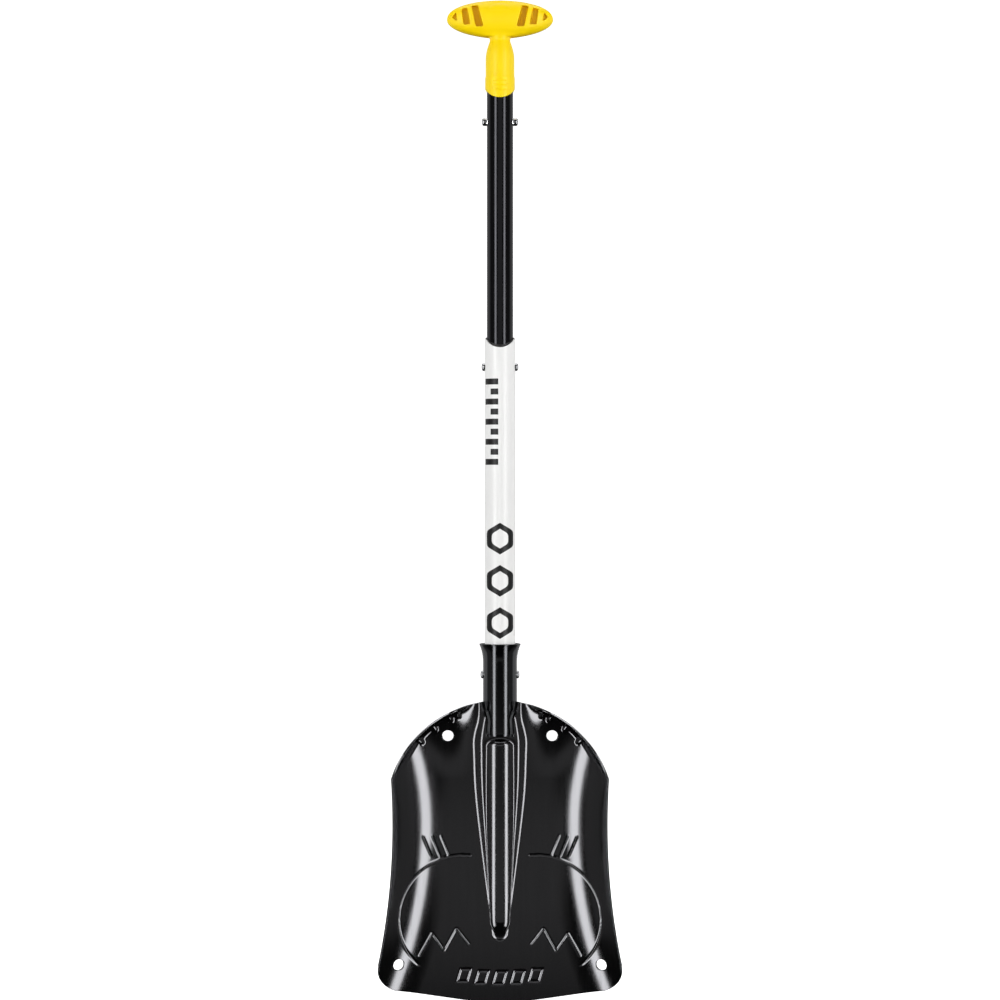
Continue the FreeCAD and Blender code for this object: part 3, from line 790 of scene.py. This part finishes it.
# ---- Bushing, end plug and guide bush ----------------------------------------------------
# Three injection-moulded black nylon pieces. The bushing lines the lower tube's top and its lip
# shows above the white edge; the plug closes the lower end; the guide rides on the upper tube.
bush_low, bush_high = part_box("tube_bushing")
bush_outer = bush_high.x / MM
upper_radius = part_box("upper_tube")[1].x / MM
running_clearance = 0.08
bushing_lip = 2.4
bush_inner = upper_radius + running_clearance
bush_lip_z = lower_edge_z + bushing_lip
middle = (bush_outer + bush_inner) / 2.0
grid = round_grid(middle, (bush_low.z / MM, lower_edge_z - 3.0, bush_lip_z), (6, 24))
ring_wall = straight_wall(middle, lower_edge_z - 8.5, bush_lip_z - 0.5)
bushing = trimmed_surface("tube_bushing_lip", *grid, ring_wall, [], closed=True)
give_thickness(bushing, bush_outer - bush_inner, 0.15)

nylon = new_material("black_moulded_nylon")
# Spark-eroded mould texture: a dull black with a fine even grain.
where = add(nylon, "ShaderNodeTexCoord")
grain = add(
    nylon, "ShaderNodeTexNoise",
    {"Vector": where.outputs["Object"], "Scale": 1 / (0.35 * MM), "Detail": 3.0},
)
tint = add(
    nylon, "ShaderNodeMix",
    {"Factor": grain.outputs["Fac"], 6: linear("#0e0e0f"), 7: linear("#1a1a1b")}, data_type="RGBA",
)
gloss = add(
    nylon, "ShaderNodeMapRange", {"Value": grain.outputs["Fac"], "To Min": 0.38, "To Max": 0.55},
)
bump = add(
    nylon, "ShaderNodeBump",
    {"Height": grain.outputs["Fac"], "Strength": 0.25, "Distance": 0.04 * MM},
)
skin = add(
    nylon, "ShaderNodeBsdfPrincipled",
    {
        "Base Color": tint.outputs[2], "Roughness": gloss.outputs["Result"], "IOR": 1.53,
        "Normal": bump.outputs["Normal"],
    },
)
add(nylon, "ShaderNodeOutputMaterial", {"Surface": skin.outputs["BSDF"]})
bushing.data.materials.append(nylon)
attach(bushing, "lower_shaft")
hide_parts("tube_bushing")


def finish_node(name, material, rounding):
    """Gives a CAD node its finish and eases its edges."""
    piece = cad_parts[name]
    for place in piece.material_slots:
        place.link = "OBJECT"
        place.material = material
    ease_edges(piece, rounding)


for name in ("lower_end_plug", "guide_bush"):
    finish_node(name, nylon, 0.2)

# ---- Snap buttons and clip springs ---------------------------------------------------------
# Three pairs of turned and polished stainless buttons. Each pair sits on a bent spring strip
# inside its tube, which pushes the domed tips out through the holes.
polished = new_material("polished_stainless_steel")
# Bright and nearly mirror-like, dulled in places by fine scratches.
where = add(polished, "ShaderNodeTexCoord")
scratch = add(
    polished, "ShaderNodeTexNoise",
    {"Vector": where.outputs["Object"], "Scale": 1 / (0.6 * MM), "Detail": 6.0, "Roughness": 0.7},
)
gloss = add(
    polished, "ShaderNodeMapRange",
    {
        "Value": scratch.outputs["Fac"], "From Min": 0.3, "From Max": 0.7, "To Min": 0.10,
        "To Max": 0.22,
    },
)
tint = add(
    polished, "ShaderNodeMix",
    {"Factor": scratch.outputs["Fac"], 6: linear("#d3d4d6"), 7: linear("#bdbec1")},
    data_type="RGBA",
)
bump = add(
    polished, "ShaderNodeBump",
    {"Height": scratch.outputs["Fac"], "Strength": 0.08, "Distance": 0.02 * MM},
)
skin = add(
    polished, "ShaderNodeBsdfPrincipled",
    {
        "Base Color": tint.outputs[2], "Metallic": 1.0, "Roughness": gloss.outputs["Result"],
        "Normal": bump.outputs["Normal"],
    },
)
add(polished, "ShaderNodeOutputMaterial", {"Surface": skin.outputs["BSDF"]})

spring_steel = new_material("blued_spring_steel")
# Rolled strip, tempered: grey with a faint blue cast and rolling lines along its length.
where = add(spring_steel, "ShaderNodeTexCoord")
rolled_along = add(
    spring_steel, "ShaderNodeMapping",
    {"Vector": where.outputs["Object"], "Scale": (1.0, 1.0, 0.05)},
)
lines = add(
    spring_steel, "ShaderNodeTexNoise",
    {"Vector": rolled_along.outputs["Vector"], "Scale": 1 / (0.3 * MM), "Detail": 4.0},
)
tint = add(
    spring_steel, "ShaderNodeMix",
    {"Factor": lines.outputs["Fac"], 6: linear("#8b9098"), 7: linear("#6f747d")}, data_type="RGBA",
)
gloss = add(
    spring_steel, "ShaderNodeMapRange",
    {"Value": lines.outputs["Fac"], "To Min": 0.24, "To Max": 0.4},
)
bump = add(
    spring_steel, "ShaderNodeBump",
    {"Height": lines.outputs["Fac"], "Strength": 0.15, "Distance": 0.02 * MM},
)
skin = add(
    spring_steel, "ShaderNodeBsdfPrincipled",
    {
        "Base Color": tint.outputs[2], "Metallic": 1.0, "Roughness": gloss.outputs["Result"],
        "Normal": bump.outputs["Normal"],
    },
)
add(spring_steel, "ShaderNodeOutputMaterial", {"Surface": skin.outputs["BSDF"]})

button_radius = 3.5
button_flange_radius = 4.4
button_flange_thickness = 1.0
tip_rounding = 1.5
dome_height = 0.35


def button_profile(length):
    """Radius and place of each point along a button, from its inner face to its tip."""
    turn = np.linspace(0.0, math.pi / 2.0, 9)
    flat = button_radius - tip_rounding
    shoulder = length - dome_height - tip_rounding
    corner = [(flat + tip_rounding * math.cos(a), shoulder + tip_rounding * math.sin(a)) for a in turn]
    dome = [(flat * (1.0 - s), length - dome_height * (1.0 - s) ** 2) for s in (0.25, 0.5, 0.75, 1.0)]
    rim, top = button_flange_radius, button_flange_thickness
    flange = [
        (0.0, 0.0), (rim - 0.2, 0.0), (rim, 0.2), (rim, top - 0.2), (rim - 0.2, top),
        (button_radius + 0.15, top), (button_radius, top + 0.15),
    ]
    return np.array(flange + corner + dome)


for station in ("socket", "extension", "stow"):
    finish_node(f"{station}_clip_spring", spring_steel, 0.12)
    for name, side in (("left", -1.0), ("right", 1.0)):
        low, high = (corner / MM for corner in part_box(f"{station}_button_{name}"))
        inner_face = min(abs(low.x), abs(high.x))
        profile = button_profile(abs(high.x - low.x))
        centre_z = (low.z + high.z) / 2.0

        def turned(u, v, side=side, inner_face=inner_face, profile=profile, centre_z=centre_z):
            radius, along = profile[v.astype(int)].T
            x = side * (inner_face + along)
            return np.stack([x, radius * np.cos(u), centre_z + radius * np.sin(u)], axis=-1)

        rings = np.meshgrid(
            np.linspace(0.0, 2.0 * math.pi, 56, endpoint=False), np.arange(len(profile)),
        )
        button = trimmed_surface(f"{station}_button_{name}_pin", *rings, turned, [], closed=True)
        button.data.materials.append(polished)
        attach(button, f"{station}_button_{name}_body")
        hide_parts(f"{station}_button_{name}")
        if station == "extension":
            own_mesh(button)

# ---- Upper tube --------------------------------------------------------------------------
# The upper half of the shaft: drawn aluminium tube, anodised black and buffed. It slides in the
# lower tube and carries two of the button pairs.
upper_low, upper_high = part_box("upper_tube")
stow_button_z = middle_height(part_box("stow_button_left"))
middle = upper_radius - tube_wall / 2.0
grid = round_grid(
    middle,
    (upper_low.z / MM, extension_button_z - hole_margin, extension_button_z + hole_margin,
     stow_button_z - hole_margin, stow_button_z + hole_margin, upper_high.z / MM),
    (4, 28, 30, 28, 6),
)
upper_tube = trimmed_surface(
    "upper_tube_anodised", *grid, straight_wall(middle),
    [button_hole(middle, extension_button_z), button_hole(middle, stow_button_z)], closed=True,
)
give_thickness(upper_tube, tube_wall, 0.2)

buffed = new_material("buffed_anodised_tube")
# Smoother and blacker than the sheet, with hairlines along the tube where it slides.
where = add(buffed, "ShaderNodeTexCoord")
drawn_along = add(
    buffed, "ShaderNodeMapping", {"Vector": where.outputs["Object"], "Scale": (1.0, 1.0, 0.015)},
)
hairs = add(
    buffed, "ShaderNodeTexNoise",
    {
        "Vector": drawn_along.outputs["Vector"], "Scale": 1 / (0.8 * MM), "Detail": 5.0,
        "Roughness": 0.7,
    },
)
cloud = add(
    buffed, "ShaderNodeTexNoise",
    {"Vector": where.outputs["Object"], "Scale": 1 / (40.0 * MM), "Detail": 4.0},
)
tint = add(
    buffed, "ShaderNodeMix",
    {"Factor": hairs.outputs["Fac"], 6: linear("#2a2a2c"), 7: linear("#3a3a3d")}, data_type="RGBA",
)
gloss = add(
    buffed, "ShaderNodeMapRange",
    {
        "Value": cloud.outputs["Fac"], "From Min": 0.3, "From Max": 0.7, "To Min": 0.12,
        "To Max": 0.19,
    },
)
bump = add(
    buffed, "ShaderNodeBump",
    {"Height": hairs.outputs["Fac"], "Strength": 0.05, "Distance": 0.02 * MM},
)
skin = add(
    buffed, "ShaderNodeBsdfPrincipled",
    {
        "Base Color": tint.outputs[2], "Metallic": 1.0, "Roughness": gloss.outputs["Result"],
        "Normal": bump.outputs["Normal"],
    },
)
add(buffed, "ShaderNodeOutputMaterial", {"Surface": skin.outputs["BSDF"]})
upper_tube.data.materials.append(buffed)
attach(upper_tube, "upper_shaft")
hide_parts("upper_tube")

# ---- Handle ------------------------------------------------------------------------------
# The T-grip: one injection moulding in bright yellow plastic, glued on the tube. The bar is
# cored with blind pockets from both faces, so that its walls stay even as the plastic cools.
handle_low, handle_high = (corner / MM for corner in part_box("handle"))
grip_half_width = handle_high.x - 0.3
sleeve_step = 0.4
grip_half_depth = 15.0
grip_top_height = 17.1
grip_bottom_height = 16.2
grip_z = handle_high.z - grip_top_height - 0.1
grip_fullness = 2.2
neck_radius = 8.8
neck_waist_radius = 7.4
neck_flare_height = 3.5
sleeve_radius = 13.4
tube_end_z = upper_high.z / MM
bore_radius = upper_radius + 0.05
sleeve_bottom_z = handle_low.z
neck_top = grip_z - grip_bottom_height * math.sqrt(1.0 - (neck_radius / grip_half_width) ** 2)
bore_steps = 60
neck_steps = 120


def neck_half(z):
    """Radius of the waisted neck, flared under the grip and swelling to the sleeve below it."""
    swell = np.sin(math.pi / 2.0 * np.clip((tube_end_z + 24.5 - z) / 21.5, 0.0, 1.0))
    step = sleeve_step * smooth_step((tube_end_z - 11.0 - z) / 3.0)
    flare = smooth_step((z - neck_top + neck_flare_height) / neck_flare_height)
    body = neck_waist_radius + (sleeve_radius - sleeve_step - neck_waist_radius) * swell
    return body + step + (neck_radius - neck_waist_radius) * flare


def handle_outline():
    """Half width and height of each point up the handle, from the bore's end round to the crown."""
    points = [(0.0, tube_end_z + 0.1), (bore_radius * 0.5, tube_end_z + 0.1)]
    points += [(bore_radius, z) for z in np.linspace(tube_end_z + 0.1, sleeve_bottom_z, bore_steps)]
    points += [(float(neck_half(z)), z) for z in np.linspace(sleeve_bottom_z, neck_top, neck_steps)]
    first = -math.acos(neck_radius / grip_half_width)
    for angle in np.linspace(first, 0.0, 70)[1:]:
        points.append((
            grip_half_width * math.cos(angle), grip_z + grip_bottom_height * math.sin(angle),
        ))
    power = 2.0 / grip_fullness
    for angle in np.linspace(0.0, math.pi / 2.0, 90)[1:]:
        width = grip_half_width * max(math.cos(angle), 0.0) ** power
        points.append((width, grip_z + grip_top_height * math.sin(angle) ** power))
    return np.array(points)


outline = handle_outline()
bore_rows = bore_steps + 2
grip_rows = bore_rows + neck_steps


def handle_surface(u, v):
    """The handle's skin: round below, and a flattened lens across the bar."""
    row = v.astype(int)
    half, z = outline[row].T
    lens = grip_half_depth / grip_half_width * half
    on_grip = row >= grip_rows
    flattened = np.minimum(half, (lens + neck_radius + np.hypot(lens - neck_radius, 2.0)) / 2.0)
    depth = np.where(on_grip, flattened, half)
    crown = smooth_step((z - grip_z) / grip_top_height)
    crown_depth = lens + 4.0 * np.sqrt(np.maximum(half, 0.0) / grip_half_width)
    depth = depth * (1.0 - crown) + np.minimum(depth, crown_depth) * crown
    x = half * np.sin(u)
    y = -depth * np.cos(u)
    outside = row >= bore_rows
    front = outside & (y < 0.0)
    rib = 0.0
    for rib_z in (sleeve_bottom_z + 8.0, sleeve_bottom_z + 12.0, sleeve_bottom_z + 16.0):
        rib = rib + 1.0 - smooth_step((np.abs(z - rib_z) - 0.5) / 0.7)
    rib = 0.55 * rib * smooth_step((7.0 - np.abs(x)) / 1.5)
    pad = smooth_step((1.0 - np.hypot(x / 10.5, (z - grip_z - 7.0) / 6.5)) * 6.0) * (z > grip_z + 7.0)
    y = y + np.where(front, rib * (half < 14.0) - 0.45 * pad, 0.0)
    lift = saddle_rise(np.clip(x, -14.0, 14.0)) * smooth_step((sleeve_bottom_z + 9.0 - z) / 9.0)
    return np.stack([x, y, z + lift], axis=-1)


rings = np.meshgrid(np.linspace(0.0, 2.0 * math.pi, 220, endpoint=False), np.arange(len(outline)))
handle = trimmed_surface("handle_moulding", *rings, handle_surface, [], closed=True)

# Outlines of the three pockets on one side: a small wedge at the tip and two slots leaning inwards.
pocket_outlines = (
    ((43.2, 0.6), (39.4, 5.2), (38.6, -3.2)),
    ((34.7, 8.1), (29.4, 8.8), (26.4, -6.4), (32.5, -6.4)),
    ((25.7, 10.5), (19.9, 11.0), (14.9, -8.2), (21.7, -8.2)),
)
pocket_middle_z = grip_z + 0.9
pocket_floor = 2.5
cutter_mesh = bpy.data.meshes.new("pocket_cores")
cores = bmesh.new()
for side in (-1.0, 1.0):
    for face in (-1.0, 1.0):
        for points in pocket_outlines:
            near = [
                cores.verts.new((side * x * MM, face * pocket_floor * MM, (pocket_middle_z + z) * MM))
                for x, z in points
            ]
            floor_face = cores.faces.new(near)
            grown = bmesh.ops.extrude_face_region(cores, geom=[floor_face])
            moved = [item for item in grown["geom"] if isinstance(item, bmesh.types.BMVert)]
            bmesh.ops.translate(cores, verts=moved, vec=(0.0, face * 16.0 * MM, 0.0))
bmesh.ops.recalc_face_normals(cores, faces=cores.faces)
uprights = [e for e in cores.edges if abs(e.verts[0].co.y - e.verts[1].co.y) > 5.0 * MM]
bmesh.ops.bevel(cores, geom=uprights, offset=1.2 * MM, segments=4, profile=0.5, affect="EDGES")
cores.to_mesh(cutter_mesh)
cores.free()
cutter = bpy.data.objects.new("pocket_cores", cutter_mesh)
scene.collection.objects.link(cutter)
# One closed skin first, so that the pocket cores cut it cleanly, and one more to round the edges.
whole = handle.modifiers.new("one skin", "REMESH")
whole.mode = "VOXEL"
whole.voxel_size = 0.38 * MM
hollow = handle.modifiers.new("pockets", "BOOLEAN")
hollow.operation = "DIFFERENCE"
hollow.solver = "MANIFOLD"
hollow.object = cutter
remesh = handle.modifiers.new("one moulding", "REMESH")
remesh.mode = "VOXEL"
remesh.voxel_size = 0.38 * MM
remesh.use_smooth_shade = True
soften = handle.modifiers.new("mould radii", "SMOOTH")
soften.factor = 0.5
soften.iterations = 7
moulded = bpy.data.meshes.new_from_object(handle.evaluated_get(bpy.context.evaluated_depsgraph_get()))
handle.modifiers.clear()
handle.data = moulded
handle.data.shade_smooth()
bpy.data.objects.remove(cutter)

plastic = new_material("yellow_moulded_plastic")
# Glass-filled polypropylene from a spark-eroded mould: saturated yellow, satin, with a fine
# texture and slight flow marks that change its shade and its gloss.
where = add(plastic, "ShaderNodeTexCoord")
grain = add(
    plastic, "ShaderNodeTexNoise",
    {"Vector": where.outputs["Object"], "Scale": 1 / (0.5 * MM), "Detail": 3.0},
)
flow = add(
    plastic, "ShaderNodeTexNoise",
    {"Vector": where.outputs["Object"], "Scale": 1 / (22.0 * MM), "Detail": 4.0, "Distortion": 1.2},
)
tint = add(
    plastic, "ShaderNodeMix",
    {"Factor": flow.outputs["Fac"], 6: linear("#ffe002"), 7: linear("#fcd801")}, data_type="RGBA",
)
gloss = add(
    plastic, "ShaderNodeMapRange",
    {
        "Value": flow.outputs["Fac"], "From Min": 0.3, "From Max": 0.7, "To Min": 0.32,
        "To Max": 0.42,
    },
)
bump = add(
    plastic, "ShaderNodeBump",
    {"Height": grain.outputs["Fac"], "Strength": 0.2, "Distance": 0.04 * MM},
)
skin = add(
    plastic, "ShaderNodeBsdfPrincipled",
    {
        "Base Color": tint.outputs[2], "Roughness": gloss.outputs["Result"], "IOR": 1.49,
        "Specular IOR Level": 0.3, "Normal": bump.outputs["Normal"],
    },
)
add(plastic, "ShaderNodeOutputMaterial", {"Surface": skin.outputs["BSDF"]})
handle.data.materials.clear()
handle.data.materials.append(plastic)
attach(handle, "upper_shaft")
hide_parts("handle")

# ---- Floor, light and camera -----------------------------------------------------------------
# A white paper sweep, lit from in front by two tall strips that draw the long highlights on the
# shaft. Cards are mirrored in the dark metal, and fills light only the paint and the plastic.
floor_width = 4.0
floor_front = -4.0
sweep_start = 2.6
sweep_radius = 1.0
path = [(floor_front, 0.0), (sweep_start, 0.0)]
for i in range(1, 13):
    angle = math.pi / 2.0 * i / 12.0
    path.append((sweep_start + sweep_radius * math.sin(angle), sweep_radius * (1.0 - math.cos(angle))))
path.append((sweep_start + sweep_radius, 3.2))
corners = [(x, y, z) for y, z in path for x in (-floor_width, floor_width)]
strips = [(2 * i, 2 * i + 1, 2 * i + 3, 2 * i + 2) for i in range(len(path) - 1)]
floor_mesh = bpy.data.meshes.new("floor")
floor_mesh.from_pydata(corners, [], strips)
floor_mesh.shade_smooth()
floor = bpy.data.objects.new("floor", floor_mesh)
scene.collection.objects.link(floor)
floor.visible_glossy = False
floor.visible_diffuse = False
paper = new_material("white_paper_sweep")
skin = add(
    paper, "ShaderNodeBsdfPrincipled",
    {
        "Base Color": linear("#f4f4f4"), "Roughness": 0.9, "Emission Color": linear("#ffffff"),
        "Emission Strength": 1.0,
    },
)
add(paper, "ShaderNodeOutputMaterial", {"Surface": skin.outputs["BSDF"]})
floor.data.materials.append(paper)


def add_light(name, place, target, width, height, power, mirrored=True):
    """Soft rectangular light turned towards its target; metal mirrors it unless told not to."""
    lamp = bpy.data.lights.new(name, "AREA")
    lamp.shape = "RECTANGLE"
    lamp.size = width
    lamp.size_y = height
    lamp.energy = power
    holder = bpy.data.objects.new(name, lamp)
    holder.location = place
    away = np.array(place) - np.array(target)
    holder.rotation_euler = (
        math.atan2(math.hypot(away[0], away[1]), away[2]), 0.0, math.atan2(away[0], -away[1])
    )
    holder.visible_camera = False
    holder.visible_glossy = mirrored
    scene.collection.objects.link(holder)


strip_angle = math.radians(39.5)
strip_distance = 1.7
back_angle = math.radians(132.0)
back_distance = 1.8
side_distance = 1.9
for name, side in (("left", -1.0), ("right", 1.0)):
    x = side * strip_distance * math.sin(strip_angle)
    y = -strip_distance * math.cos(strip_angle)
    add_light("strip_" + name, (x, y, 0.3), (0.0, 0.0, 0.3), 0.46, 3.4, 27.0)
    x = side * back_distance * math.sin(back_angle)
    y = -back_distance * math.cos(back_angle)
    add_light("rim_panel_" + name, (x, y, 0.7), (0.0, 0.0, 0.7), 2.6, 2.4, 11.8)
    add_light("side_card_" + name, (side * side_distance, -0.2, 0.5), (0.0, -0.2, 0.5), 2.0, 2.6, 2.0)
    add_light(
        "side_fill_" + name, (side * side_distance, -0.34, 0.5), (0.0, 0.0, 0.5), 2.0, 2.6, 20.0,
        False,
    )
add_light("front_fill", (0.0, -2.6, 0.6), (0.0, 0.0, 0.6), 2.0, 1.6, 7.0, False)
add_light("overhead", (0.0, 0.4, 2.4), (0.0, 0.0, 0.0), 1.6, 1.6, 16.0)
add_light("low_card", (0.0, -2.5, -0.19), (0.0, 0.0, -0.19), 2.2, 0.38, 0.45)
add_light("high_card", (0.0, -2.9, 1.1), (0.0, 0.0, 1.1), 2.0, 1.2, 2.9)

world = bpy.data.worlds.new("studio")
scene.world = world
world.use_nodes = True
world.node_tree.nodes.clear()
seen = add(world, "ShaderNodeLightPath")
bright = add(world, "ShaderNodeBackground", {"Color": linear("#ffffff"), "Strength": 1.0})
dim = add(world, "ShaderNodeBackground", {"Color": linear("#ffffff"), "Strength": 0.015})
both = add(
    world, "ShaderNodeMixShader",
    {0: seen.outputs["Is Camera Ray"], 1: dim.outputs[0], 2: bright.outputs[0]},
)
add(world, "ShaderNodeOutputWorld", {"Surface": both.outputs[0]})

scene.view_settings.view_transform = "Standard"
lens = bpy.data.cameras.new("camera")
lens.sensor_width = 36.0
lens.lens = 108.0
camera = bpy.data.objects.new("camera", lens)
camera.location = (0.0, -2.7, 0.4495)
camera.rotation_euler = (math.pi / 2.0, 0.0, 0.0)
scene.collection.objects.link(camera)
scene.camera = camera
